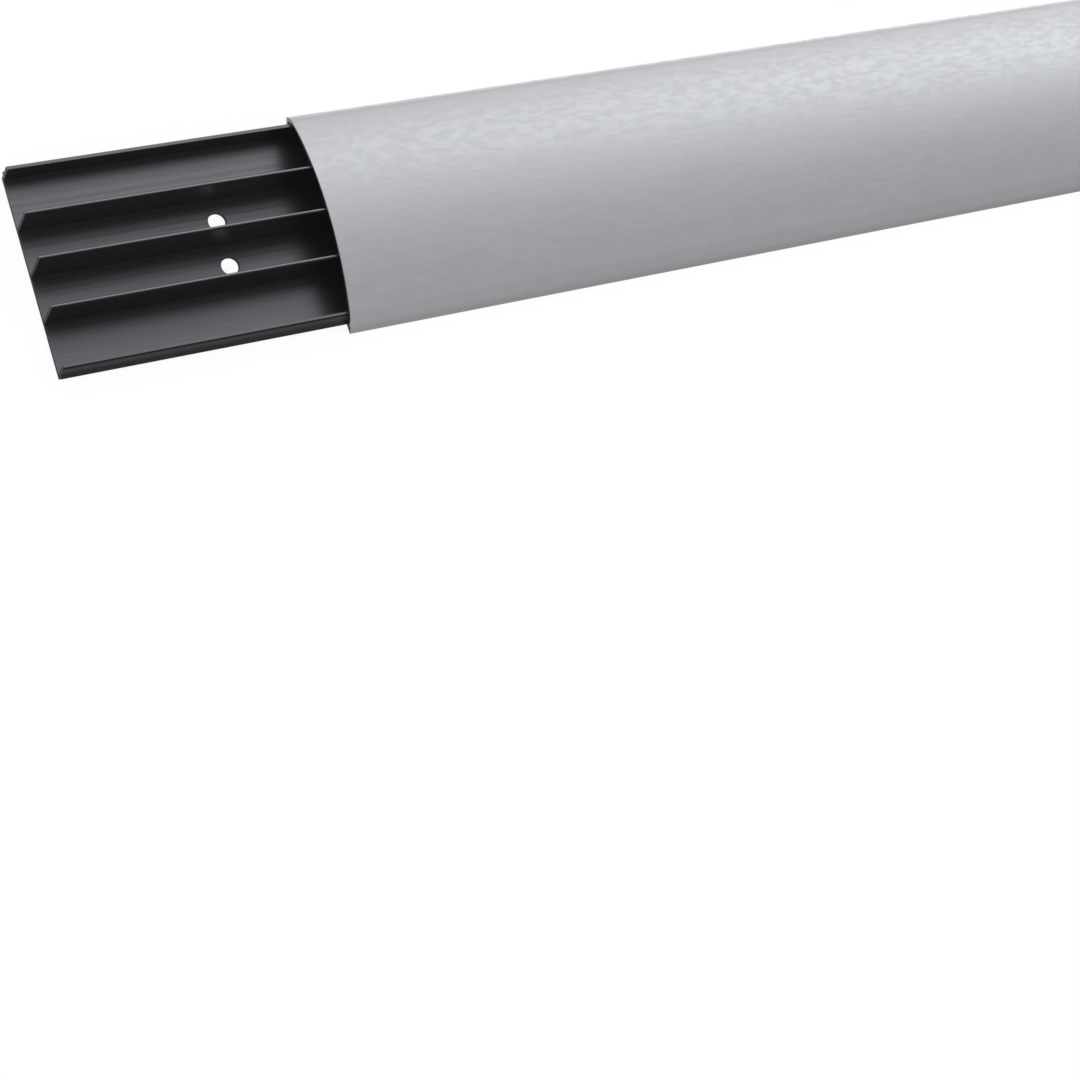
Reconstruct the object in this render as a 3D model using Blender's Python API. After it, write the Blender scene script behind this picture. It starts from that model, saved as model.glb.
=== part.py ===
"""Low domed floor trunking: a plastic base with cable compartments and a clip-on aluminium cover.

Both pieces are straight extrusions along X. The section lies in the YZ plane, and Z is up.
The origin is on the floor, under the middle of the stock length.
"""

import math

import bmesh
import bpy
from mathutils import Matrix, Vector

MM = 0.001

# Whole trunking
STOCK_LENGTH = 2000 * MM
COVER_SETBACK = 95 * MM
ASSEMBLY_GAP = 0.3 * MM

# Cover section
COVER_WIDTH = 75 * MM
COVER_HEIGHT = 20 * MM
COVER_SKIN = 1.3 * MM
TOE_HEIGHT = 5 * MM
SHOULDER_RADIUS = 8 * MM
LIP_HEIGHT = 2.6 * MM
LIP_CHAMFER = 0.6 * MM
CROWN_SEGMENTS = 28
SHOULDER_SEGMENTS = 8

# Base section
BASE_WIDTH = 68 * MM
FLOOR_THICKNESS = 1.6 * MM
WALL_THICKNESS = 1.4 * MM
WALL_HEIGHT = 10.2 * MM
WALL_LEAD_IN = 0.8 * MM
BEAD_REACH = 0.9 * MM
BEAD_LAND = 0.4 * MM
BEAD_RISE = 1.6 * MM
DIVIDER_THICKNESS = 1.2 * MM
DIVIDER_PITCH = 15.5 * MM

# Fixing holes through the floor of the two middle compartments
HOLE_DIAMETER = 6 * MM
HOLE_END_DISTANCE = 64 * MM
HOLE_STATIONS = 5
HOLE_SIDES = 32
CUTTER_OVERRUN = 3 * MM


def clear_scene():
    """Remove every object that the file opened with."""
    for old in list(bpy.data.objects):
        bpy.data.objects.remove(old, do_unlink=True)


def crown_radius(skin_inset):
    """Radius of the crown arc, drawn in by skin_inset from the outer face.

    The crown meets both shoulder arcs smoothly, which fixes its radius.
    """
    half_span = COVER_WIDTH / 2 - SHOULDER_RADIUS
    rise = COVER_HEIGHT - TOE_HEIGHT
    radius = (half_span ** 2 + rise ** 2 - SHOULDER_RADIUS ** 2) / (2 * (rise - SHOULDER_RADIUS))
    return radius - skin_inset


def crown_centre_height():
    """Height of the crown arc's centre, which lies below the floor."""
    return COVER_HEIGHT - crown_radius(0)


def inner_height(y):
    """Height of the cover's inner face over a point that lies under the crown."""
    return crown_centre_height() + math.sqrt(crown_radius(COVER_SKIN) ** 2 - y ** 2)


def arc(centre_y, centre_z, radius, start, end, segments):
    """Points of an arc, with angles measured from +Z towards +Y."""
    step = (end - start) / segments
    return [
        (centre_y + radius * math.sin(start + i * step), centre_z + radius * math.cos(start + i * step))
        for i in range(segments + 1)
    ]


def arch(skin_inset):
    """The dome from the left toe over the crown to the right toe, without the toes' lower ends."""
    shoulder_y = COVER_WIDTH / 2 - SHOULDER_RADIUS
    shoulder_radius = SHOULDER_RADIUS - skin_inset
    meet = math.atan2(shoulder_y, TOE_HEIGHT - crown_centre_height())
    left = arc(-shoulder_y, TOE_HEIGHT, shoulder_radius, -math.pi / 2, -meet, SHOULDER_SEGMENTS)
    crown = arc(0, crown_centre_height(), crown_radius(skin_inset), -meet, meet, CROWN_SEGMENTS)
    right = arc(shoulder_y, TOE_HEIGHT, shoulder_radius, meet, math.pi / 2, SHOULDER_SEGMENTS)
    return left[:-1] + crown + right[1:]


def lip(side):
    """The inward lip at the foot of one toe, from its outer corner to the cover's inner face."""
    outer = COVER_WIDTH / 2
    inner = outer - COVER_SKIN
    tip = BASE_WIDTH / 2 + ASSEMBLY_GAP
    points = [
        (outer, 0),
        (tip, 0),
        (tip, LIP_HEIGHT - LIP_CHAMFER),
        (tip + LIP_CHAMFER, LIP_HEIGHT),
        (inner, LIP_HEIGHT),
    ]
    return [(side * y, z) for y, z in points]


def cover_outline():
    """Closed section of the cover."""
    inner_dome = arch(COVER_SKIN)
    return arch(0) + lip(+1) + inner_dome[::-1] + lip(-1)[::-1]


def wall(side):
    """One side wall of the base, from the underside round its bead to the floor inside."""
    outer = BASE_WIDTH / 2
    inner = outer - WALL_THICKNESS
    bead_foot = LIP_HEIGHT + ASSEMBLY_GAP
    points = [
        (outer, 0),
        (outer, bead_foot),
        (outer + BEAD_REACH, bead_foot),
        (outer + BEAD_REACH, bead_foot + BEAD_LAND),
        (outer, bead_foot + BEAD_RISE),
        (outer, WALL_HEIGHT - WALL_LEAD_IN),
        (outer - WALL_LEAD_IN, WALL_HEIGHT),
        (inner, WALL_HEIGHT),
        (inner, FLOOR_THICKNESS),
    ]
    return [(side * y, z) for y, z in points]


def divider(y):
    """One upright divider, from its right foot over its top to its left foot."""
    right = y + DIVIDER_THICKNESS / 2
    left = y - DIVIDER_THICKNESS / 2
    top = inner_height(max(abs(left), abs(right))) - ASSEMBLY_GAP
    return [(right, FLOOR_THICKNESS), (right, top), (left, top), (left, FLOOR_THICKNESS)]


def base_outline():
    """Closed section of the base."""
    dividers = [point for y in (DIVIDER_PITCH, 0, -DIVIDER_PITCH) for point in divider(y)]
    return wall(+1) + dividers + wall(-1)[::-1]


def extrusion(name, outline, start, end, material):
    """Sweep a closed section along X, from start to end."""
    mesh = bpy.data.meshes.new(name)
    work = bmesh.new()
    section = work.faces.new([work.verts.new((start, y, z)) for y, z in outline])
    swept = bmesh.ops.extrude_face_region(work, geom=[section], use_keep_orig=True)
    moved = [item for item in swept["geom"] if isinstance(item, bmesh.types.BMVert)]
    bmesh.ops.translate(work, verts=moved, vec=(end - start, 0, 0))
    bmesh.ops.recalc_face_normals(work, faces=work.faces)
    work.to_mesh(mesh)
    work.free()
    mesh.materials.append(material)
    made = bpy.data.objects.new(name, mesh)
    bpy.context.scene.collection.objects.link(made)
    return made


def hole_places():
    """Centres of the fixing holes: pairs at even stations along the stock."""
    first = -STOCK_LENGTH / 2 + HOLE_END_DISTANCE
    pitch = (STOCK_LENGTH - 2 * HOLE_END_DISTANCE) / (HOLE_STATIONS - 1)
    return [
        (first + station * pitch, side * DIVIDER_PITCH / 2)
        for station in range(HOLE_STATIONS)
        for side in (-1, 1)
    ]


def hole_cutter():
    """Upright pins that cut every fixing hole through the floor."""
    mesh = bpy.data.meshes.new("hole_cutter")
    work = bmesh.new()
    for x, y in hole_places():
        bmesh.ops.create_cone(
            work,
            cap_ends=True,
            segments=HOLE_SIDES,
            radius1=HOLE_DIAMETER / 2,
            radius2=HOLE_DIAMETER / 2,
            depth=FLOOR_THICKNESS + 2 * CUTTER_OVERRUN,
            matrix=Matrix.Translation(Vector((x, y, FLOOR_THICKNESS / 2))),
        )
    work.to_mesh(mesh)
    work.free()
    cutter = bpy.data.objects.new("hole_cutter", mesh)
    bpy.context.scene.collection.objects.link(cutter)
    cutter.hide_render = True
    cutter.display_type = "WIRE"
    return cutter


def finish(name, colour, roughness, metallic):
    """A plain Principled material."""
    material = bpy.data.materials.new(name)
    material.use_nodes = True
    shader = material.node_tree.nodes["Principled BSDF"]
    shader.inputs["Base Color"].default_value = (*colour, 1)
    shader.inputs["Roughness"].default_value = roughness
    shader.inputs["Metallic"].default_value = metallic
    return material


def make_base():
    """The base tray, with its fixing holes cut."""
    black_plastic = finish("black_plastic", (0.035, 0.036, 0.040), 0.45, 0.0)
    base = extrusion(
        "trunking_base", base_outline(), -STOCK_LENGTH / 2, STOCK_LENGTH / 2, black_plastic
    )
    holes = base.modifiers.new("fixing_holes", "BOOLEAN")
    holes.operation = "DIFFERENCE"
    holes.solver = "EXACT"
    holes.object = hole_cutter()


def make_cover():
    """The domed cover, set back from one end so that the base shows."""
    anodised = finish("anodised_aluminium", (0.45, 0.46, 0.48), 0.38, 1.0)
    cover = extrusion(
        "trunking_cover",
        cover_outline(),
        -STOCK_LENGTH / 2 + COVER_SETBACK,
        STOCK_LENGTH / 2,
        anodised,
    )
    cover.data.shade_smooth()
    cover.data.set_sharp_from_angle(angle=math.radians(25))


clear_scene()
make_base()
make_cover()
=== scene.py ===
"""Low domed floor trunking, dressed for its portrait.

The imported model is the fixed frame. Its two extrusions are drawn again at the same sizes, with the round
edges, guide lines and cut ends that the faceted solids leave out, and every surface gets its finish.
Lengths are in metres. X runs along the stock, Y across it, and Z is up.
"""

import logging
import math
from dataclasses import dataclass, field
from enum import Enum

import bmesh
import bpy
from mathutils import Matrix, Vector


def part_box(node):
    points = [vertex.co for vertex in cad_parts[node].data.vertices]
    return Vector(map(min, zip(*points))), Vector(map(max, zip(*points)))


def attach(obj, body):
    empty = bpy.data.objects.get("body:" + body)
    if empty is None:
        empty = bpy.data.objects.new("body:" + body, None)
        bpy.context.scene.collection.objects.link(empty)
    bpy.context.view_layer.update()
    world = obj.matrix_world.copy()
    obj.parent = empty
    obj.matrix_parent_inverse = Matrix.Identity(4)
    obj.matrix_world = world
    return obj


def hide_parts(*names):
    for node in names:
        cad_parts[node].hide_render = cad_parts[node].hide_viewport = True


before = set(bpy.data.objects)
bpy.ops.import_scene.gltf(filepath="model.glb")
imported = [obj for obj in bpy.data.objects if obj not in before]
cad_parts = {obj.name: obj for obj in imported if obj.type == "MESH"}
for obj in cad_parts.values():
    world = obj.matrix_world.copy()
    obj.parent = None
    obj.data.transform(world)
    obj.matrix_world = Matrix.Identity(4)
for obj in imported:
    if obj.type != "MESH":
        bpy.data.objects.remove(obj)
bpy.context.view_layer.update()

MM = 0.001
LOG = logging.getLogger("floor_trunking")

Socket = bpy.types.NodeSocket
Outputs = bpy.types.NodeOutputs
Material = bpy.types.Material
Plug = Socket | float | tuple
Mesh = bmesh.types.BMesh
Colour = tuple[float, float, float]
Span = tuple[float, float]
Stops = tuple[Span, ...]

UNIT: Span = (0.0, 1.0)
WHITE = (1, 1, 1, 1)


class Body(Enum):
    """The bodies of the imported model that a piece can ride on."""

    ROOT = "root"


class Node(Enum):
    """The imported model's nodes that are drawn again here."""

    BASE = "trunking_base"
    COVER = "trunking_cover"


class Slot(Enum):
    """The record's material slots."""

    BASE = "base_plastic"
    COVER = "cover_metal"


class Bend(Enum):
    """How a strength changes between the stops of a ramp."""

    LEVEL = "EASE"
    FLOWING = "CARDINAL"


class NodeBench:
    """Adds nodes to one node tree and wires them together."""

    def __init__(self, tree: bpy.types.NodeTree) -> None:
        """Start on an empty node tree of a material, a world or a group."""
        tree.nodes.clear()
        self.tree = tree

    def add(self, kind: str, **settings: object) -> bpy.types.Node:
        """Add a node and set its properties.

        Args:
            kind: Blender's name for the type of node.
            settings: Property names and their values.

        Returns:
            The new node.
        """
        node = self.tree.nodes.new(kind)
        for name, value in settings.items():
            setattr(node, name, value)
        return node

    def feed(self, socket: Socket, source: Plug) -> None:
        """Give a socket its source.

        Args:
            socket: The input to fill.
            source: An output to link, or a fixed value.
        """
        if isinstance(source, Socket):
            self.tree.links.new(source, socket)
        else:
            socket.default_value = source

    def feed_all(self, node: bpy.types.Node, sources: dict[str, Plug]) -> None:
        """Give several of a node's inputs their sources, by name."""
        for name, source in sources.items():
            self.feed(node.inputs[name], source)

    def sum(self, operation: str, *terms: Plug, clamp: bool = False) -> Socket:
        """Work out one number from others.

        Args:
            operation: Blender's name for the sum, such as ADD or POWER.
            terms: Its numbers, in the node's order.
            clamp: True to keep the result from 0 to 1.

        Returns:
            The result.
        """
        node = self.add("ShaderNodeMath", operation=operation, use_clamp=clamp)
        for socket, term in zip(node.inputs, terms):
            self.feed(socket, term)
        return node.outputs["Value"]

    def vector(self, operation: str, *terms: Plug) -> bpy.types.Node:
        """Work out a vector, or a number from vectors.

        Args:
            operation: Blender's name for the sum, such as MULTIPLY.
            terms: Its vectors, in the node's order.

        Returns:
            The node, whose Vector or Value output holds the result.
        """
        node = self.add("ShaderNodeVectorMath", operation=operation)
        for socket, term in zip(node.inputs, terms):
            self.feed(socket, term)
        return node

    def stretch(self, value: Plug, old: Span, new: Span = UNIT) -> Socket:
        """Stretch a value from one range to another, and keep it there.

        Args:
            value: The value to stretch.
            old: The range that is read.
            new: The range that comes out.

        Returns:
            The stretched value.
        """
        node = self.add("ShaderNodeMapRange", clamp=True)
        names = ("Value", "From Min", "From Max", "To Min", "To Max")
        self.feed_all(node, dict(zip(names, (value, *old, *new))))
        return node.outputs["Result"]

    def ramp(self, value: Plug, stops: Stops, bend: Bend) -> Socket:
        """Turn a value into a strength that changes smoothly from stop to stop.

        Args:
            value: The value that the stops are placed along.
            stops: Each stop's place and its strength, in order.
            bend: How the strength changes between them.

        Returns:
            The strength.
        """
        node = self.add("ShaderNodeValToRGB")
        node.color_ramp.interpolation = bend.value
        for _ in stops[2:]:
            node.color_ramp.elements.new(0.5)
        first, last = stops[0][0], stops[-1][0]
        brightest = max(strength for _, strength in stops)
        for element, (place, strength) in zip(node.color_ramp.elements, stops):
            share = strength / brightest
            element.position = (place - first) / (last - first)
            element.color = (share, share, share, 1)
        self.feed(node.inputs["Fac"], self.stretch(value, (first, last)))
        return self.sum("MULTIPLY", node.outputs["Color"], brightest)

    def blend(self, mask: Plug, under: Plug, over: Plug) -> Socket:
        """Blend two colours.

        Args:
            mask: 0 shows the colour under, and 1 the colour over.
            under: A colour, or an output that gives one.
            over: A colour, or an output that gives one.

        Returns:
            The blended colour.
        """
        node = self.add("ShaderNodeMix", data_type="RGBA")
        self.feed(node.inputs["Factor"], mask)
        colours = [socket for socket in node.inputs if socket.type == "RGBA"]
        for socket, source in zip(colours, (under, over)):
            self.feed(socket, source if isinstance(source, Socket) else (*source, 1.0))
        return next(socket for socket in node.outputs if socket.type == "RGBA")

    def share(self, first: Plug, part: float, second: Plug) -> Socket:
        """Add two patterns, so that the first is a part of the sum and the second the rest."""
        return self.sum("MULTIPLY_ADD", first, part, self.sum("MULTIPLY", second, 1 - part))

    def noise(self, place: Plug, size: Plug, detail: float = 2.0, roughness: float = 0.5) -> Socket:
        """Read an even noise.

        Args:
            place: Where it is read.
            size: About how large its clouds are.
            detail: How many finer layers it has.
            roughness: How strong the finer layers are.

        Returns:
            The noise, from 0 to 1.
        """
        node = self.add("ShaderNodeTexNoise")
        self.feed_all(node, {"Vector": place, "Detail": detail, "Roughness": roughness})
        self.feed(node.inputs["Scale"], self.sum("DIVIDE", 1.0, size))
        return node.outputs["Fac"]

    def drawn_noise(
        self, place: Plug, along: Plug, across: Plug, detail: float, roughness: float
    ) -> Socket:
        """Read a noise that is drawn out along X.

        Args:
            place: Where it is read.
            along: About how long its clouds are, along X.
            across: About how wide they are.
            detail: How many finer layers it has.
            roughness: How strong the finer layers are.

        Returns:
            The noise, from 0 to 1.
        """
        size = self.add("ShaderNodeCombineXYZ")
        self.feed_all(size, {"X": along, "Y": across, "Z": across})
        drawn = self.vector("DIVIDE", place, size.outputs["Vector"])
        return self.noise(drawn.outputs["Vector"], 1.0, detail, roughness)


class Surface:
    """A new material with its shader and its Object coordinates."""

    def __init__(self, name: str) -> None:
        """Make the material.

        Args:
            name: The material's name.
        """
        self.material = bpy.data.materials.new(name)
        self.material.use_nodes = True
        self.bench = NodeBench(self.material.node_tree)
        self.shader = self.bench.add("ShaderNodeBsdfPrincipled")
        output = self.bench.add("ShaderNodeOutputMaterial")
        self.bench.feed(output.inputs["Surface"], self.shader.outputs["BSDF"])
        self.position = self.bench.add("ShaderNodeTexCoord").outputs["Object"]

    def feed(self, name: str, source: Plug) -> None:
        """Give one of the shader's sockets its source or its fixed number."""
        self.bench.feed(self.shader.inputs[name], source)

    def emboss(self, height: Plug, depth: float) -> None:
        """Raise the surface by a height that runs from 0 to 1.

        Args:
            height: The height's pattern.
            depth: How far the pattern's 1 stands above its 0.
        """
        bump = self.bench.add("ShaderNodeBump")
        bump.inputs["Distance"].default_value = depth
        self.bench.feed(bump.inputs["Height"], height)
        self.feed("Normal", bump.outputs["Normal"])


class SharedEffect:
    """A node group that several finishes use, each with values of its own.

    It reads a position, and each of its other inputs and its outputs is a number.
    """

    title = "shared_effect"
    inputs: tuple[str, ...] = ()
    outputs: tuple[str, ...] = ()

    def __init__(self) -> None:
        """Make the group and its sockets, and wire what is inside."""
        self.tree = bpy.data.node_groups.new(self.title, "ShaderNodeTree")
        add = self.tree.interface.new_socket
        add(name="Position", in_out="INPUT", socket_type="NodeSocketVector")
        for names, direction in ((self.inputs, "INPUT"), (self.outputs, "OUTPUT")):
            for name in names:
                add(name=name, in_out=direction, socket_type="NodeSocketFloat")
        bench = NodeBench(self.tree)
        made = self.wire(bench, bench.add("NodeGroupInput").outputs)
        bench.feed_all(bench.add("NodeGroupOutput"), made)

    def wire(self, bench: NodeBench, given: Outputs) -> dict[str, Socket]:
        """Wire the inside of the group.

        Args:
            bench: The group's own bench.
            given: The values that the group is given.

        Returns:
            What the group puts out, by the outputs' names.
        """
        raise NotImplementedError

    def place(self, surface: Surface, **values: Plug) -> Outputs:
        """Place the effect on a surface, at its Object coordinates.

        Args:
            surface: The surface that gets the effect.
            values: Each further input's value, by its name in lower case.

        Returns:
            The outputs of the placed group.
        """
        node = surface.bench.add("ShaderNodeGroup", node_tree=self.tree)
        sources = {name.title(): value for name, value in values.items()}
        surface.bench.feed_all(node, {"Position": surface.position, **sources})
        return node.outputs


class DieLines(SharedEffect):
    """Fine lines that the extrusion die leaves along the stock."""

    title = "die_lines"
    inputs = ("Spacing", "Run", "Contrast")
    outputs = ("Lines",)
    detail = 3.0
    roughness = 0.65
    middle = 0.5

    def wire(self, bench: NodeBench, given: Outputs) -> dict[str, Socket]:
        """Read a noise that is drawn out along X, and spread it about its middle.

        Args:
            bench: The group's bench.
            given: What the group is given.

        Returns:
            What it puts out.
        """
        sizes = (given["Run"], given["Spacing"])
        noise = bench.drawn_noise(given["Position"], *sizes, self.detail, self.roughness)
        centred = bench.sum("SUBTRACT", noise, self.middle)
        widened = bench.sum("MULTIPLY", centred, given["Contrast"])
        return {"Lines": bench.sum("ADD", widened, self.middle, clamp=True)}


class FineGrain(SharedEffect):
    """The matt grain of a surface, as a height and as sparse specks."""

    title = "fine_grain"
    inputs = ("Size",)
    outputs = ("Grain", "Specks")
    peaks = (0.62, 0.74)

    def wire(self, bench: NodeBench, given: Outputs) -> dict[str, Socket]:
        """Read an even noise for the grain, and keep only its peaks for the specks.

        Args:
            bench: The group's bench.
            given: What the group is given.

        Returns:
            What it puts out.
        """
        noise = bench.noise(given["Position"], given["Size"])
        return {"Grain": noise, "Specks": bench.stretch(noise, self.peaks)}


class Clouding(SharedEffect):
    """Soft clouds of tone, longer along the stock than across it."""

    title = "clouding"
    inputs = ("Size", "Draw")
    outputs = ("Clouds",)
    detail = 6.0
    roughness = 0.6
    span = (0.3, 0.7)

    def wire(self, bench: NodeBench, given: Outputs) -> dict[str, Socket]:
        """Read a rough noise, drawn out along X.

        Args:
            bench: The group's bench.
            given: What the group is given.

        Returns:
            What it puts out.
        """
        sizes = (bench.sum("MULTIPLY", given["Size"], given["Draw"]), given["Size"])
        noise = bench.drawn_noise(given["Position"], *sizes, self.detail, self.roughness)
        return {"Clouds": bench.stretch(noise, self.span)}


class EdgeHighlightMask(SharedEffect):
    """A mask of the sharp edges, along which the finishes paint a highlight."""

    title = "edge_highlight_mask"
    inputs = ("Reach", "Breakup")
    outputs = ("Highlight",)
    samples = 4
    facing_span = (0.995, 0.80)
    patch_span = (0.35, 0.65)
    patch_strength = (0.25, 1.0)

    # The mask only places a painted highlight: it marks sharp edges for lightening, standing in for light
    # caught on them.
    def wire(self, bench: NodeBench, given: Outputs) -> dict[str, Socket]:
        """Compare the true normal with one rounded over the edges, and break the mask up.

        Args:
            bench: The group's bench.
            given: What the group is given.

        Returns:
            What it puts out.
        """
        rounded = bench.add("ShaderNodeBevel", samples=self.samples)
        bench.feed(rounded.inputs["Radius"], given["Reach"])
        true = bench.add("ShaderNodeNewGeometry").outputs["True Normal"]
        facing = bench.vector("DOT_PRODUCT", rounded.outputs["Normal"], true).outputs["Value"]
        edge = bench.stretch(facing, self.facing_span)
        noise = bench.noise(given["Position"], given["Breakup"])
        patches = bench.stretch(noise, self.patch_span, self.patch_strength)
        return {"Highlight": bench.sum("MULTIPLY", edge, patches)}


class SawMarks(SharedEffect):
    """The fine, slightly bowed lines that a saw leaves across a cut end."""

    title = "saw_marks"
    inputs = ("Pitch",)
    outputs = ("Marks",)
    bands_per_pitch = 0.3
    bow = 2.5
    detail = 2.0
    detail_scale = 0.6

    def wire(self, bench: NodeBench, given: Outputs) -> dict[str, Socket]:
        """Read uneven bands that climb the end on a slant.

        Args:
            bench: The group's bench.
            given: What the group is given.

        Returns:
            What it puts out.
        """
        wave = bench.add("ShaderNodeTexWave", wave_type="BANDS", bands_direction="DIAGONAL")
        scale = bench.sum("DIVIDE", self.bands_per_pitch, given["Pitch"])
        bench.feed_all(wave, {"Vector": given["Position"], "Scale": scale, "Distortion": self.bow})
        bench.feed_all(wave, {"Detail": self.detail, "Detail Scale": self.detail_scale})
        return {"Marks": wave.outputs["Fac"]}


class EffectShelf:
    """Every shared effect, built once."""

    def __init__(self) -> None:
        """Build the node groups."""
        self.die_lines = DieLines()
        self.grain = FineGrain()
        self.clouding = Clouding()
        self.edge_highlight_mask = EdgeHighlightMask()
        self.saw_marks = SawMarks()


@dataclass(frozen=True)
class Finish:
    """A finish, with the values that its material is made from."""

    name: str

    def make(self, effects: EffectShelf) -> Material:
        """Make the material.

        Args:
            effects: The shared effects.

        Returns:
            The finished material.
        """
        surface = Surface(self.name)
        self.dress(surface, effects)
        return surface.material

    def dress(self, surface: Surface, effects: EffectShelf) -> None:
        """Dress a surface.

        Args:
            surface: The bare surface.
            effects: The shared effects.
        """
        raise NotImplementedError


@dataclass(frozen=True)
class ExtrudedPlastic(Finish):
    """Black PVC as it leaves the die: a soft sheen, faint lines along it, and a painted highlight along
    its sharp edges.
    """

    name: str = "black_extruded_plastic"
    deep: Colour = (0.0019, 0.0021, 0.0024)
    pale: Colour = (0.0036, 0.0038, 0.0044)
    # colour of the painted highlight along the sharp edges
    painted_highlight: Colour = (0.045, 0.046, 0.050)
    roughness: Span = (0.29, 0.35)
    gloss_index: float = 1.80
    gloss_level: float = 1.0
    relief: float = 0.006 * MM
    line_spacing: float = 0.9 * MM
    line_run: float = 0.6
    line_contrast: float = 2.2
    streak_spacing: float = 1.4 * MM
    streak_run: float = 1.2
    streak_contrast: float = 1.6
    streak_relief: float = 7.0
    grain_size: float = 0.18 * MM
    grain_relief: float = 0.35
    cloud_size: float = 14 * MM
    cloud_draw: float = 5.0
    cloud_tone: float = 0.35
    cloud_sheen: float = 0.5
    edge_reach: float = 0.25 * MM
    edge_breakup: float = 5 * MM
    # strength of the painted edge highlight
    edge_highlight: float = 0.5

    def dress(self, surface: Surface, effects: EffectShelf) -> None:
        """Give the black skin its clouds, its lines and streaks, and its painted edge highlights.

        Args:
            surface: The bare surface.
            effects: The shared effects.
        """
        bench = surface.bench
        lines = effects.die_lines.place(
            surface, spacing=self.line_spacing, run=self.line_run, contrast=self.line_contrast
        )["Lines"]
        streaks = effects.die_lines.place(
            surface, spacing=self.streak_spacing, run=self.streak_run, contrast=self.streak_contrast
        )["Lines"]
        grain = effects.grain.place(surface, size=self.grain_size)["Grain"]
        clouds = effects.clouding.place(surface, size=self.cloud_size, draw=self.cloud_draw)["Clouds"]
        highlit_edges = effects.edge_highlight_mask.place(surface, reach=self.edge_reach, breakup=self.edge_breakup)["Highlight"]
        body = bench.blend(bench.share(clouds, self.cloud_tone, lines), self.deep, self.pale)
        # Painted highlight: the sharp edges are painted lighter, standing in for light caught on them.
        painted_highlight = bench.sum("MULTIPLY", highlit_edges, self.edge_highlight)
        surface.feed("Base Color", bench.blend(painted_highlight, body, self.painted_highlight))
        uneven = bench.share(clouds, self.cloud_sheen, lines)
        surface.feed("Roughness", bench.stretch(uneven, UNIT, self.roughness))
        fine = bench.sum("MULTIPLY_ADD", grain, self.grain_relief, lines)
        surface.emboss(bench.sum("MULTIPLY_ADD", streaks, self.streak_relief, fine), self.relief)
        surface.feed("IOR", self.gloss_index)
        surface.feed("Specular IOR Level", self.gloss_level)


@dataclass(frozen=True)
class AnodisedMetal(Finish):
    """Satin anodised aluminium: cool grey, mottled, with drawn lines along it, painted glints on pale
    specks and a painted highlight along its edges.
    """

    name: str = "satin_anodised_aluminium"
    deep: Colour = (0.476, 0.476, 0.465)
    pale: Colour = (0.516, 0.515, 0.501)
    # colour of the painted glints and the painted edge highlights
    bright: Colour = (0.63, 0.625, 0.60)
    roughness: Span = (0.33, 0.50)
    metallic: float = 0.30
    relief: float = 0.0115 * MM
    line_spacing: float = 0.45 * MM
    line_run: float = 0.25
    line_contrast: float = 1.8
    grain_size: float = 0.5 * MM
    grain_relief: float = 0.9
    # strength of the painted glints on the grain's specks
    speck_glint: float = 0.35
    cloud_size: float = 7 * MM
    cloud_draw: float = 3.0
    cloud_tone: float = 0.5
    mottle_size: float = 2.0 * MM
    mottle_draw: float = 2.5
    mottle_span: Span = (0.3, 0.7)
    mottle_sheen: float = 0.7
    mottle_relief: float = 1.2
    edge_reach: float = 0.12 * MM
    edge_breakup: float = 6 * MM
    edge_highlight: float = 0.6

    def dress(self, surface: Surface, effects: EffectShelf) -> None:
        """Give the grey skin its clouds and mottling, its drawn lines, its painted glints on specks and
        its painted edge highlights.

        Args:
            surface: The bare surface.
            effects: The shared effects.
        """
        bench = surface.bench
        lines = effects.die_lines.place(
            surface, spacing=self.line_spacing, run=self.line_run, contrast=self.line_contrast
        )["Lines"]
        grain = effects.grain.place(surface, size=self.grain_size)
        clouds = effects.clouding.place(surface, size=self.cloud_size, draw=self.cloud_draw)["Clouds"]
        mottle = effects.clouding.place(surface, size=self.mottle_size, draw=self.mottle_draw)["Clouds"]
        highlit_edges = effects.edge_highlight_mask.place(surface, reach=self.edge_reach, breakup=self.edge_breakup)["Highlight"]
        tone = bench.share(clouds, self.cloud_tone, lines)
        # Painted glints on the grain's specks and a painted highlight along the sharp edges, both
        # lightened towards the bright colour.
        glint = bench.sum("MULTIPLY", grain["Specks"], self.speck_glint)
        painted_highlight = bench.sum("MAXIMUM", glint, bench.sum("MULTIPLY", highlit_edges, self.edge_highlight))
        body = bench.blend(tone, self.deep, self.pale)
        surface.feed("Base Color", bench.blend(painted_highlight, body, self.bright))
        patches = bench.stretch(mottle, self.mottle_span)
        uneven = bench.share(patches, self.mottle_sheen, tone)
        surface.feed("Roughness", bench.stretch(uneven, UNIT, self.roughness))
        surface.feed("Metallic", self.metallic)
        fine = bench.sum("MULTIPLY_ADD", grain["Grain"], self.grain_relief, lines)
        surface.emboss(bench.sum("MULTIPLY_ADD", patches, self.mottle_relief, fine), self.relief)


@dataclass(frozen=True)
class SawnFace(Finish):
    """A face that a saw or a drill left: scored by the teeth, with a grain between the marks."""

    deep: Colour
    scored: Colour
    roughness: Span
    metallic: float
    pitch: float
    relief: float
    grain_size: float
    grain_relief: float
    grain_in_tone: bool
    grain_span: Span = (0.3, 0.7)

    def dress(self, surface: Surface, effects: EffectShelf) -> None:
        """Give the face its marks and its grain.

        Args:
            surface: The bare surface.
            effects: The shared effects.
        """
        bench = surface.bench
        marks = effects.saw_marks.place(surface, pitch=self.pitch)["Marks"]
        grain = effects.grain.place(surface, size=self.grain_size)["Grain"]
        tone = bench.sum("MULTIPLY", marks, grain) if self.grain_in_tone else marks
        surface.feed("Base Color", bench.blend(tone, self.deep, self.scored))
        surface.feed("Roughness", bench.stretch(grain, self.grain_span, self.roughness))
        surface.feed("Metallic", self.metallic)
        surface.emboss(bench.sum("MULTIPLY_ADD", grain, self.grain_relief, marks), self.relief)


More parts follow.
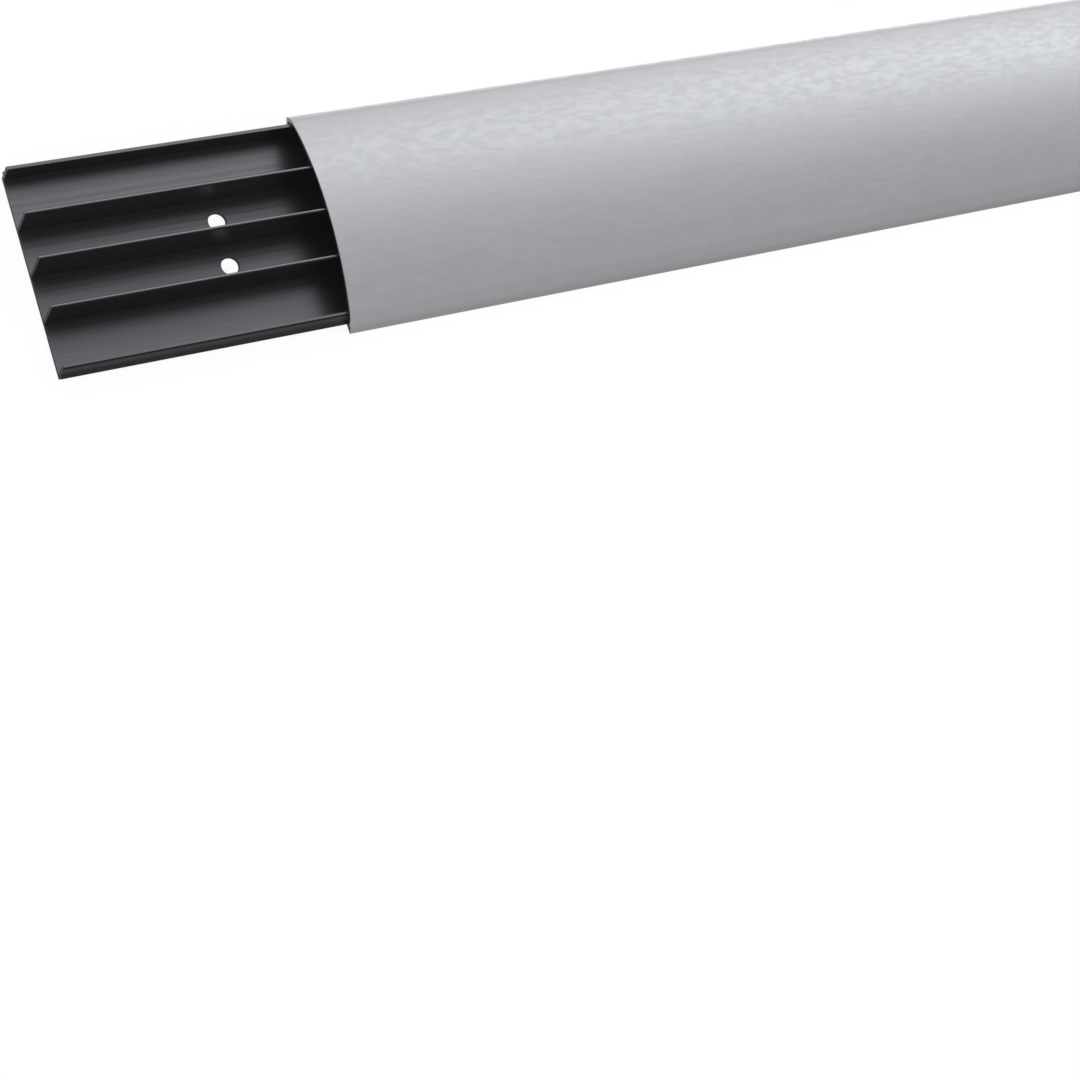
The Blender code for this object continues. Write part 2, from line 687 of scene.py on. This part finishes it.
@dataclass(frozen=True)
class SawnPlastic(SawnFace):
    """Black PVC where it was sawn or drilled: duller and greyer than the skin."""

    name: str = "sawn_black_plastic"
    deep: Colour = (0.042, 0.043, 0.046)
    scored: Colour = (0.110, 0.111, 0.117)
    roughness: Span = (0.48, 0.66)
    metallic: float = 0.0
    pitch: float = 0.35 * MM
    relief: float = 0.02 * MM
    grain_size: float = 0.12 * MM
    grain_relief: float = 0.5
    grain_in_tone: bool = True


@dataclass(frozen=True)
class SawnMetal(SawnFace):
    """Bare aluminium where the cover was sawn, with the teeth's fine lines."""

    name: str = "sawn_aluminium"
    deep: Colour = (0.15, 0.148, 0.145)
    scored: Colour = (0.30, 0.295, 0.29)
    roughness: Span = (0.30, 0.46)
    metallic: float = 1.0
    pitch: float = 0.3 * MM
    relief: float = 0.015 * MM
    grain_size: float = 0.15 * MM
    grain_relief: float = 0.4
    grain_in_tone: bool = False


def stand(name: str, work: Mesh, materials: list[Material | None]) -> bpy.types.Object:
    """Turn a worked mesh into an object in the scene.

    Args:
        name: The name of the object and of its mesh.
        work: The worked mesh, which is freed.
        materials: Its materials, in the order of their slots.

    Returns:
        The new object, at the origin.
    """
    mesh = bpy.data.meshes.new(name)
    work.to_mesh(mesh)
    work.free()
    for material in materials:
        mesh.materials.append(material)
    made = bpy.data.objects.new(name, mesh)
    bpy.context.scene.collection.objects.link(made)
    return made


class SectionPen:
    """Draws one closed section across the stock, by extruding and spinning its last point."""

    ROUND_STEPS = 5

    def __init__(self, work: Mesh, x: float, y: float, z: float) -> None:
        """Put the first point down.

        Args:
            work: The mesh that the section is drawn in.
            x: Where along the stock the section lies.
            y: The first point's place across the stock.
            z: The first point's height.
        """
        self.work = work
        self.x = x
        self.first = work.verts.new((x, y, z))
        self.tip = self.first
        self.soft: dict[float, list[bmesh.types.BMVert]] = {}

    def line(self, y: float, z: float, rounding: float = 0.0) -> None:
        """Draw a straight stretch.

        Args:
            y: Where it ends across the stock.
            z: The height at which it ends.
            rounding: The radius that its end's corner is given when the section is filled.
        """
        drawn = bmesh.ops.extrude_vert_indiv(self.work, verts=[self.tip])
        self.tip = drawn["verts"][0]
        self.tip.co = (self.x, y, z)
        if rounding:
            self.soft.setdefault(rounding, []).append(self.tip)

    def arc(self, y: float, z: float, angle: float, steps: int) -> None:
        """Draw a round stretch.

        Args:
            y: The centre's place across the stock.
            z: The centre's height.
            angle: How far it turns, positive from +Y towards +Z.
            steps: How many short stretches make it.
        """
        drawn = bmesh.ops.spin(
            self.work, geom=[self.tip], cent=(self.x, y, z), axis=(1, 0, 0), angle=angle, steps=steps
        )
        self.tip = next(item for item in drawn["geom_last"] if isinstance(item, bmesh.types.BMVert))

    def fill(self) -> None:
        """Join the last point to the first, fill the section and round its marked corners."""
        bmesh.ops.contextual_create(self.work, geom=[self.tip, self.first])
        bmesh.ops.contextual_create(self.work, geom=self.work.edges[:])
        for radius, corners in self.soft.items():
            bmesh.ops.bevel(
                self.work,
                geom=corners,
                offset=radius,
                offset_type="OFFSET",
                segments=self.ROUND_STEPS,
                profile=0.5,
                affect="VERTICES",
                material=-1,
            )


@dataclass(frozen=True)
class DomeLine:
    """The cover's outer line: a crown arc that runs smoothly into two shoulder arcs."""

    half_width: float
    height: float
    toe: float = 5 * MM
    shoulder: float = 8 * MM
    skin: float = 1.3 * MM

    def shoulder_place(self) -> float:
        """How far each shoulder arc's centre stands from the middle."""
        return self.half_width - self.shoulder

    def crown_drop(self) -> float:
        """Find how far the crown arc's centre lies below the floor.

        Returns:
            The distance.
        """
        rise = self.height - self.toe
        span = self.shoulder_place()
        radius = (span ** 2 + rise ** 2 - self.shoulder ** 2) / (2 * (rise - self.shoulder))
        return radius - self.height

    def meet(self) -> float:
        """The angle from the middle at which the crown meets a shoulder."""
        return math.atan2(self.shoulder_place(), self.toe + self.crown_drop())

    def inside(self, place: float) -> float:
        """Height of the dome's inner face.

        Args:
            place: A place under the crown, across the stock.

        Returns:
            The height there.
        """
        radius = self.height + self.crown_drop() - self.skin
        return math.sqrt(radius ** 2 - place ** 2) - self.crown_drop()


@dataclass
class Extrusion:
    """Stock of one section, sawn square at both ends, with a fine arris round each cut."""

    name: str
    node: Node
    slot: Slot
    spans: int = 20
    arris: float = 0.12 * MM
    smooth_below: float = math.radians(32)
    cap_facing: float = 0.99
    sawn_facing: float = 0.5
    start: float = field(init=False)
    end: float = field(init=False)
    half_width: float = field(init=False)
    height: float = field(init=False)

    def __post_init__(self) -> None:
        """Take the length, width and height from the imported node."""
        low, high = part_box(self.node.value)
        self.start, self.end = low.x, high.x
        self.half_width, self.height = high.y, high.z

    def build(self, materials: list[Material]) -> None:
        """Make the piece and let it stand for its node.

        Args:
            materials: The skin's material, then the sawn one.
        """
        work = bmesh.new()
        self.draw_section(work)
        self.sweep(work)
        made = self.finished(work, materials)
        self.shade(made)
        self.hand_over(made)

    def draw_section(self, work: Mesh) -> None:
        """Draw the piece's section.

        Args:
            work: The mesh that the section is drawn in.
        """
        raise NotImplementedError

    def sweep(self, work: Mesh) -> None:
        """Extrude the drawn section along the stock, span by span, and chamfer the rim of both ends.

        Args:
            work: The mesh, which holds only the filled section.
        """
        pitch = (self.end - self.start - 2 * self.arris) / self.spans
        front = work.faces[:]
        for span in range(self.spans):
            front = self.push(work, front[0], Vector((pitch, 0, 0)), keep=span == 0)
        bmesh.ops.recalc_face_normals(work, faces=work.faces)
        for cap in [face for face in work.faces if abs(face.normal.x) > self.cap_facing]:
            bmesh.ops.inset_region(
                work, faces=[cap], thickness=self.arris, depth=self.arris, use_even_offset=True
            )

    @staticmethod
    def push(work: Mesh, face: bmesh.types.BMFace, step: Vector, keep: bool) -> list[bmesh.types.BMFace]:
        """Extrude one face by a step.

        Args:
            work: The mesh.
            face: The face to push out.
            step: How far it goes.
            keep: True for the first push, which leaves the face behind as the other end.

        Returns:
            The pushed face, in a list.
        """
        pushed = bmesh.ops.extrude_face_region(work, geom=[face, *face.edges], use_keep_orig=keep)
        moved = [item for item in pushed["geom"] if isinstance(item, bmesh.types.BMVert)]
        bmesh.ops.translate(work, verts=moved, vec=step)
        return [item for item in pushed["geom"] if isinstance(item, bmesh.types.BMFace)]

    def finished(self, work: Mesh, materials: list[Material]) -> bpy.types.Object:
        """Turn the swept mesh into an object whose ends show the sawn material.

        Args:
            work: The swept mesh, which is freed.
            materials: The skin's material, then the sawn one.

        Returns:
            The new object, at the origin.
        """
        for face in work.faces:
            face.material_index = 1 if abs(face.normal.x) > self.sawn_facing else 0
        return stand(self.name, work, materials)

    def shade(self, made: bpy.types.Object) -> None:
        """Shade the rounds smooth and keep the flats flat.

        Args:
            made: The finished object.
        """
        made.data.shade_smooth()
        made.data.set_sharp_from_angle(angle=self.smooth_below)
        even = made.modifiers.new("even_flats", "WEIGHTED_NORMAL")
        even.keep_sharp = True

    def hand_over(self, made: bpy.types.Object) -> None:
        """Let the object stand for its node, and report it.

        Args:
            made: The finished object.
        """
        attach(made, Body.ROOT.value)
        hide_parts(self.node.value)
        LOG.info("%s stands for %s, with %d faces", made.name, self.node.value, len(made.data.polygons))


@dataclass
class BaseTray(Extrusion):
    """The black plastic base: floor, side walls with their beads, dividers and fixing holes."""

    name: str = "base_tray"
    node: Node = Node.BASE
    slot: Slot = Slot.BASE
    arris: float = 0.06 * MM
    dome: DomeLine | None = None
    clearance: float = 0.3 * MM
    floor: float = 1.6 * MM
    wall: float = 1.4 * MM
    wall_height: float = 10.2 * MM
    lead_in: float = 0.55 * MM
    bead_foot: float = 2.9 * MM
    bead_reach: float = 0.9 * MM
    bead_land: float = 0.4 * MM
    bead_rise: float = 1.6 * MM
    divider: float = 1.2 * MM
    divider_pitch: float = 15.5 * MM
    foot_fillet: float = 0.15 * MM
    top_round: float = 0.3 * MM
    divider_round: float = 0.5 * MM
    small_round: float = 0.15 * MM
    rim_round: float = 0.08 * MM
    middle_groove: float = 7.75 * MM
    outer_grooves: tuple[float, ...] = (25.4 * MM, 22.4 * MM)
    groove_width: float = 1.0 * MM
    groove_depth: float = 0.04 * MM
    hole_radius: float = 3.0 * MM
    hole_chamfer: float = 0.2 * MM
    hole_sides: int = 64
    hole_end_distance: float = 64 * MM
    hole_stations: int = 5
    punch_under: float = 2 * MM
    punch_over: float = 1 * MM

    def draw_section(self, work: Mesh) -> None:
        """Draw the tray's section, from the underside round one wall, over the dividers to the other.

        Args:
            work: The mesh that the section is drawn in.
        """
        body = self.half_width - self.bead_reach
        pen = SectionPen(work, self.start + self.arris, 0, 0)
        self.draw_wall(pen, body, +1)
        for place in (self.divider_pitch, 0, -self.divider_pitch):
            self.draw_divider(pen, place)
        self.draw_wall(pen, body, -1)
        pen.fill()

    def draw_wall(self, pen: SectionPen, body: float, side: int) -> None:
        """Draw one side wall and the outer compartment's floor beside it.

        Args:
            pen: The pen, under the middle before the first wall, and at a divider's foot before the last.
            body: Half the width of the tray's body, without the beads.
            side: 1 for the far wall, which is drawn upwards outside, and -1 for the near one.
        """
        inner, bead = body - self.wall, body + self.bead_reach
        foot, top, small = self.bead_foot, self.wall_height, self.small_round
        corners = [
            (body, 0, small),
            (body, foot, small),
            (bead, foot, small),
            (bead, foot + self.bead_land, small),
            (body, foot + self.bead_rise, small),
            (body, top - self.lead_in, self.top_round),
            (body - self.lead_in, top, self.rim_round),
            (inner, top, self.rim_round),
            (inner, self.floor, self.foot_fillet),
        ]
        for place in self.outer_grooves:
            corners += self.groove(place)
        for y, z, rounding in corners[::side]:
            pen.line(side * y, z, rounding)

    def groove(self, place: float) -> list[tuple[float, float, float]]:
        """A shallow guide groove in the floor, drawn from its outer edge inwards.

        Args:
            place: Its distance from the middle.

        Returns:
            Its three points and their roundings.
        """
        half = self.groove_width / 2
        return [
            (place + half, self.floor, 0),
            (place, self.floor - self.groove_depth, 0),
            (place - half, self.floor, 0),
        ]

    def draw_divider(self, pen: SectionPen, place: float) -> None:
        """Draw one divider, and the guide grooves of the middle compartments beside it.

        Args:
            pen: The pen, on the floor at the divider's far side.
            place: The divider's middle, across the stock.
        """
        half = self.divider / 2
        top = self.divider_top(place)
        pen.line(place + half, self.floor, self.foot_fillet)
        pen.line(place + half, top, self.divider_round)
        pen.line(place - half, top, self.divider_round)
        pen.line(place - half, self.floor, self.foot_fillet)
        if place >= 0:
            for y, z, rounding in self.groove(self.middle_groove if place else -self.middle_groove):
                pen.line(y, z, rounding)

    def divider_top(self, place: float) -> float:
        """Height of a divider, which stops just under the dome."""
        return self.dome.inside(abs(place) + self.divider / 2) - self.clearance

    def finished(self, work: Mesh, materials: list[Material]) -> bpy.types.Object:
        """Turn the swept mesh into an object, and drill it."""
        return self.drill(super().finished(work, materials))

    def drill(self, tray: bpy.types.Object) -> bpy.types.Object:
        """Cut the fixing holes, with a slight chamfer at their upper rims.

        Args:
            tray: The plain tray.

        Returns:
            The tray, which now has the drilled mesh.
        """
        punch = self.punch()
        cut = tray.modifiers.new("fixing_holes", "BOOLEAN")
        cut.operation = "DIFFERENCE"
        cut.solver = "EXACT"
        cut.object = punch
        graph = bpy.context.evaluated_depsgraph_get()
        drilled = bpy.data.meshes.new_from_object(tray.evaluated_get(graph))
        tray.modifiers.clear()
        plain, tray.data = tray.data, drilled
        bpy.data.meshes.remove(plain)
        drilled.name = self.name
        bpy.data.objects.remove(punch, do_unlink=True)
        return tray

    def punch(self) -> bpy.types.Object:
        """Make the drill's shape at every hole.

        Returns:
            An object of upright pins, each flared where it leaves the floor.
        """
        work = bmesh.new()
        flare, under, over = self.hole_chamfer, self.punch_under, self.punch_over
        for x, y in self.hole_places():
            made = bmesh.ops.create_circle(
                work,
                cap_ends=True,
                segments=self.hole_sides,
                radius=self.hole_radius,
                matrix=Matrix.Translation((x, y, -under)),
            )
            foot = made["verts"][0].link_faces[0]
            (neck,) = self.push(work, foot, Vector((0, 0, under + self.floor - flare)), keep=True)
            (head,) = self.push(work, neck, Vector((0, 0, flare + over)), keep=False)
            grow = (self.hole_radius + flare + over) / self.hole_radius
            bmesh.ops.scale(
                work, verts=head.verts[:], vec=(grow, grow, 1), space=Matrix.Translation((-x, -y, 0))
            )
        bmesh.ops.recalc_face_normals(work, faces=work.faces)
        for face in work.faces:
            face.material_index = 1
        return stand("punch", work, [None, None])

    def hole_places(self) -> list[tuple[float, float]]:
        """Place the fixing holes, in pairs at even stations along the stock.

        Returns:
            Their centres.
        """
        first = self.start + self.hole_end_distance
        pitch = (self.end - self.start - 2 * self.hole_end_distance) / (self.hole_stations - 1)
        side = self.divider_pitch / 2
        stations = [first + number * pitch for number in range(self.hole_stations)]
        return [(x, y) for x in stations for y in (-side, side)]


@dataclass
class DomeCover(Extrusion):
    """The aluminium cover: a low crown, round shoulders, and an inward lip along each foot."""

    name: str = "dome_cover"
    node: Node = Node.COVER
    slot: Slot = Slot.COVER
    lip_tip: float = 34.3 * MM
    lip_height: float = 2.6 * MM
    lip_chamfer: float = 0.6 * MM
    small_round: float = 0.2 * MM
    crown_steps: int = 96
    shoulder_steps: int = 20
    foot_trim_height: float = 8.5 * MM
    foot_trim_setback: float = 2.4 * MM
    dome: DomeLine = field(init=False)

    def __post_init__(self) -> None:
        """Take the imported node's sizes, and fit the dome to them."""
        super().__post_init__()
        self.dome = DomeLine(self.half_width, self.height)

    def draw_section(self, work: Mesh) -> None:
        """Draw the cover's section: the outer dome, one lip, the inner dome and the other lip.

        Args:
            work: The mesh that the section is drawn in.
        """
        dome = self.dome
        pen = SectionPen(work, self.start + self.arris, (self.lip_tip + dome.half_width) / 2, 0)
        pen.line(dome.half_width, 0, self.small_round)
        pen.line(dome.half_width, dome.toe)
        self.draw_dome(pen, +1)
        pen.line(-dome.half_width, 0, self.small_round)
        self.draw_lip(pen, -1)
        pen.line(dome.skin - dome.half_width, dome.toe)
        self.draw_dome(pen, -1)
        self.draw_lip(pen, +1)
        pen.fill()

    def sweep(self, work: Mesh) -> None:
        """Extrude the section, and slant the open end's cut back at both feet.

        Args:
            work: The mesh, which holds only the filled section.
        """
        super().sweep(work)
        height = self.foot_trim_height
        bmesh.ops.bisect_plane(
            work, geom=[*work.verts, *work.edges, *work.faces], plane_co=(0, 0, height), plane_no=(0, 0, 1)
        )
        rim = self.start + 2 * self.arris
        for corner in work.verts:
            if corner.co.x < rim and corner.co.z < height:
                corner.co.x += self.foot_trim_setback * (1 - corner.co.z / height)

    def draw_dome(self, pen: SectionPen, turn: int) -> None:
        """Draw one face of the dome, from toe to toe.

        Args:
            pen: The pen, at the top of a toe.
            turn: 1 from the far toe to the near one, and -1 back again.
        """
        dome = self.dome
        bend = math.pi / 2 - dome.meet()
        pen.arc(turn * dome.shoulder_place(), dome.toe, turn * bend, self.shoulder_steps)
        pen.arc(0, -dome.crown_drop(), turn * 2 * dome.meet(), self.crown_steps)
        pen.arc(-turn * dome.shoulder_place(), dome.toe, turn * bend, self.shoulder_steps)

    def draw_lip(self, pen: SectionPen, side: int) -> None:
        """Draw the lip along one foot.

        Args:
            pen: The pen, at the foot's outer corner on the near side, and inside it on the far side.
            side: 1 for the far foot, and -1 for the near one.
        """
        corners = [
            (self.lip_tip, 0),
            (self.lip_tip, self.lip_height - self.lip_chamfer),
            (self.lip_tip + self.lip_chamfer, self.lip_height),
            (self.half_width - self.dome.skin, self.lip_height),
        ]
        for y, z in corners[::-side]:
            pen.line(side * y, z, self.small_round)


@dataclass(frozen=True)
class PortraitCamera:
    """The photograph's viewpoint, given as a turn round a point on the floor beside the bare end."""

    lens: float = 73.0
    sensor: float = 36.0
    azimuth: float = -71.82
    elevation: float = 64.55
    roll: float = 56.17
    distance: float = 729.1 * MM
    aim_along: float = 140.98 * MM
    aim_across: float = -119.33 * MM

    def place(self, bare_end: float) -> None:
        """Put the camera up and make it the scene's.

        Args:
            bare_end: Where the stock's bare end lies, along X.
        """
        turn, tilt, roll = (math.radians(angle) for angle in (self.azimuth, self.elevation, self.roll))
        back = Vector((math.sin(turn) * math.cos(tilt), -math.cos(turn) * math.cos(tilt), math.sin(tilt)))
        level = Vector((math.cos(turn), math.sin(turn), 0))
        upright = back.cross(level)
        right = math.cos(roll) * level + math.sin(roll) * upright
        up = math.cos(roll) * upright - math.sin(roll) * level
        data = bpy.data.cameras.new("portrait_camera")
        data.lens = self.lens
        data.sensor_width = self.sensor
        camera = bpy.data.objects.new("portrait_camera", data)
        aim = Vector((bare_end + self.aim_along, self.aim_across, 0))
        axes = Matrix((right, up, back)).transposed().to_4x4()
        camera.matrix_world = Matrix.Translation(aim + back * self.distance) @ axes
        bpy.context.scene.collection.objects.link(camera)
        bpy.context.scene.camera = camera


@dataclass(frozen=True)
class PaleFloor:
    """A matt floor that glows: almost white to the camera, and duller where the stock mirrors it.

    Each stop is a place across or along the stock, and the mirrored glow's strength there. It is
    strongest beside the far side, and dimmer beside the bare base.
    """

    size: float = 20.0
    gap: float = 0.1 * MM
    colour: Colour = (0.10, 0.10, 0.10)
    seen_glow: float = 0.92
    matt_glow: float = 0.62
    near_glow: float = 0.11
    stops_across: Stops = (
        (-200 * MM, 0.0), (8 * MM, 0.01), (38 * MM, 1.5), (54 * MM, 1.5),
        (80 * MM, 0.85), (130 * MM, 0.55), (300 * MM, 0.6),
    )
    stops_along: Stops = (
        (-1100 * MM, 0.35), (-915 * MM, 0.35), (-885 * MM, 1.0), (-650 * MM, 1.25), (-400 * MM, 1.25),
    )

    def lay(self) -> None:
        """Lay the floor just below the stock."""
        work = bmesh.new()
        bmesh.ops.create_grid(work, x_segments=1, y_segments=1, size=self.size)
        bmesh.ops.translate(work, verts=work.verts, vec=(0, 0, -self.gap))
        floor = stand("studio_floor", work, [self.finish()])

    def finish(self) -> Material:
        """Make the floor's material, which gives the camera, mirrored light and matt light a glow each.

        Returns:
            The material.
        """
        surface = Surface("pale_floor")
        surface.material.cycles.emission_sampling = "NONE"
        bench = surface.bench
        ray = bench.add("ShaderNodeLightPath").outputs
        place = bench.add("ShaderNodeSeparateXYZ")
        bench.feed(place.inputs["Vector"], surface.position)
        across = bench.ramp(place.outputs["Y"], self.stops_across, Bend.LEVEL)
        along = bench.ramp(place.outputs["X"], self.stops_along, Bend.LEVEL)
        mirrored = bench.sum("MULTIPLY_ADD", across, along, self.near_glow)
        glow = bench.sum("MULTIPLY", ray["Is Camera Ray"], self.seen_glow)
        glow = bench.sum("MULTIPLY_ADD", ray["Is Glossy Ray"], mirrored, glow)
        glow = bench.sum("MULTIPLY_ADD", ray["Is Diffuse Ray"], self.matt_glow, glow)
        surface.feed("Emission Strength", glow)
        surface.feed("Emission Color", WHITE)
        surface.feed("Base Color", (*self.colour, 1))
        surface.feed("Roughness", 1.0)
        surface.feed("Specular IOR Level", 0.0)
        return surface.material


@dataclass(frozen=True)
class LightTent:
    """A tent of soft light over the stock, with its bright panel on the far side.

    The panel lights matt surfaces softly, and glossy ones mirror it with a sharper edge. Each matt or
    mirrored stop is a tilt in degrees, from straight up towards the far side, and the tent's strength
    there. Each stop along is a direction's lean towards the closed end, and a factor on both.
    """

    matt_stops: Stops = (
        (-90, 0.75), (-60, 0.71), (-30, 1.26), (0, 1.37), (30, 0.98), (60, 0.52), (90, 0.37),
    )
    mirrored_stops: Stops = (
        (-90, 0.04), (-30, 0.05), (-8, 0.22), (8, 0.58), (20, 1.14),
        (30, 1.55), (42, 2.55), (60, 2.35), (76, 1.25), (90, 1.00),
    )
    tint: Colour = (0.905, 0.926, 1.0)
    along_stops: Stops = (
        (-0.3, 0.80), (0.1, 0.70), (0.25, 0.80), (0.36, 0.96), (0.49, 1.19), (0.7, 1.42),
    )
    backdrop: float = 1.0

    def raise_up(self) -> None:
        """Make the tent the scene's world. The camera sees a plain pale backdrop instead."""
        world = bpy.data.worlds.new("light_tent")
        world.use_nodes = True
        world.cycles.sampling_method = "NONE"
        bench = NodeBench(world.node_tree)
        direction = bench.add("ShaderNodeSeparateXYZ")
        bench.feed(direction.inputs["Vector"], bench.add("ShaderNodeTexCoord").outputs["Generated"])
        turn = bench.sum("ARCTAN2", direction.outputs["Y"], direction.outputs["Z"])
        tilt = bench.sum("DEGREES", turn)
        ray = bench.add("ShaderNodeLightPath").outputs
        matt = bench.ramp(tilt, self.matt_stops, Bend.FLOWING)
        mirrored = bench.ramp(tilt, self.mirrored_stops, Bend.FLOWING)
        strength = bench.sum("MULTIPLY", bench.sum("SUBTRACT", 1.0, ray["Is Glossy Ray"]), matt)
        strength = bench.sum("MULTIPLY_ADD", ray["Is Glossy Ray"], mirrored, strength)
        along = bench.ramp(direction.outputs["X"], self.along_stops, Bend.FLOWING)
        light, backdrop = (bench.add("ShaderNodeBackground") for _ in range(2))
        light.inputs["Color"].default_value = (*self.tint, 1)
        bench.feed(light.inputs["Strength"], bench.sum("MULTIPLY", strength, along))
        backdrop.inputs["Color"].default_value = WHITE
        backdrop.inputs["Strength"].default_value = self.backdrop
        choice = bench.add("ShaderNodeMixShader")
        views = (ray["Is Camera Ray"], light.outputs["Background"], backdrop.outputs["Background"])
        for socket, source in zip(choice.inputs, views):
            bench.feed(socket, source)
        output = bench.add("ShaderNodeOutputWorld")
        bench.feed(output.inputs["Surface"], choice.outputs["Shader"])
        bpy.context.scene.world = world


@dataclass(frozen=True)
class Film:
    """How the picture is developed: in true colours, with a slight flare that lifts the blacks."""

    flare: float = 0.0041

    def load(self) -> None:
        """Set the scene's view."""
        view = bpy.context.scene.view_settings
        view.view_transform = "Standard"
        view.use_curve_mapping = True
        view.curve_mapping.black_level = [-self.flare] * 3
        view.curve_mapping.update()


def main() -> None:
    """Build the trunking, the studio and the camera, and report each piece."""
    logging.basicConfig(level=logging.INFO, format="%(name)s: %(message)s")
    effects = EffectShelf()
    cover = DomeCover()
    cover.build([AnodisedMetal().make(effects), SawnMetal().make(effects)])
    tray = BaseTray(dome=cover.dome)
    tray.build([ExtrudedPlastic().make(effects), SawnPlastic().make(effects)])
    PaleFloor().lay()
    LightTent().raise_up()
    Film().load()
    PortraitCamera().place(tray.start)


if __name__ == "__main__":
    main()
